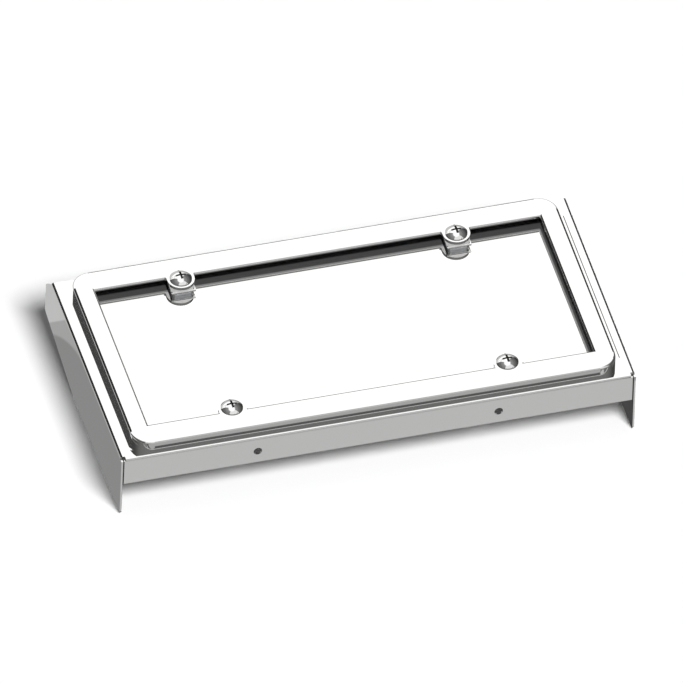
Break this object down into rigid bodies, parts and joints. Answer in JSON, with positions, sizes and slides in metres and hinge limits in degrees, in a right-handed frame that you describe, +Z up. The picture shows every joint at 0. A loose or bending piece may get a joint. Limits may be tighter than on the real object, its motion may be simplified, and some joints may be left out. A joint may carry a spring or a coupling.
{
  "type": "number plate holder",
  "caption": "Folded chrome sheet bracket with side cheeks and a front flange, carrying a hollow rectangular cover frame held by cross-slotted screws.",
  "frame": {"origin": "centre of the bounding box at the level of the cheeks' lower edges", "axes": "+X along the width, +Y to the rear, away from the front flange, +Z up, out of the number plate's face"},
  "size_m": [0.332, 0.1774, 0.057],
  "materials": {
    "bracket_chrome": "polished",
    "frame_chrome": "polished",
    "screw_chrome": "polished",
    "nut_steel": "zinc plated",
    "leaf_chrome": "polished"
  },
  "bodies": {
    "root": {"bracket": "bracket_chrome", "cover_frame": "frame_chrome", "screw_rear_left": "screw_chrome", "screw_rear_right": "screw_chrome", "screw_front_left": "screw_chrome", "screw_front_right": "screw_chrome", "nut_rear_left": "nut_steel", "nut_rear_right": "nut_steel", "nut_front_left": "nut_steel", "nut_front_right": "nut_steel", "leaf_left": "leaf_chrome", "leaf_right": "leaf_chrome"}
  },
  "joints": []
}
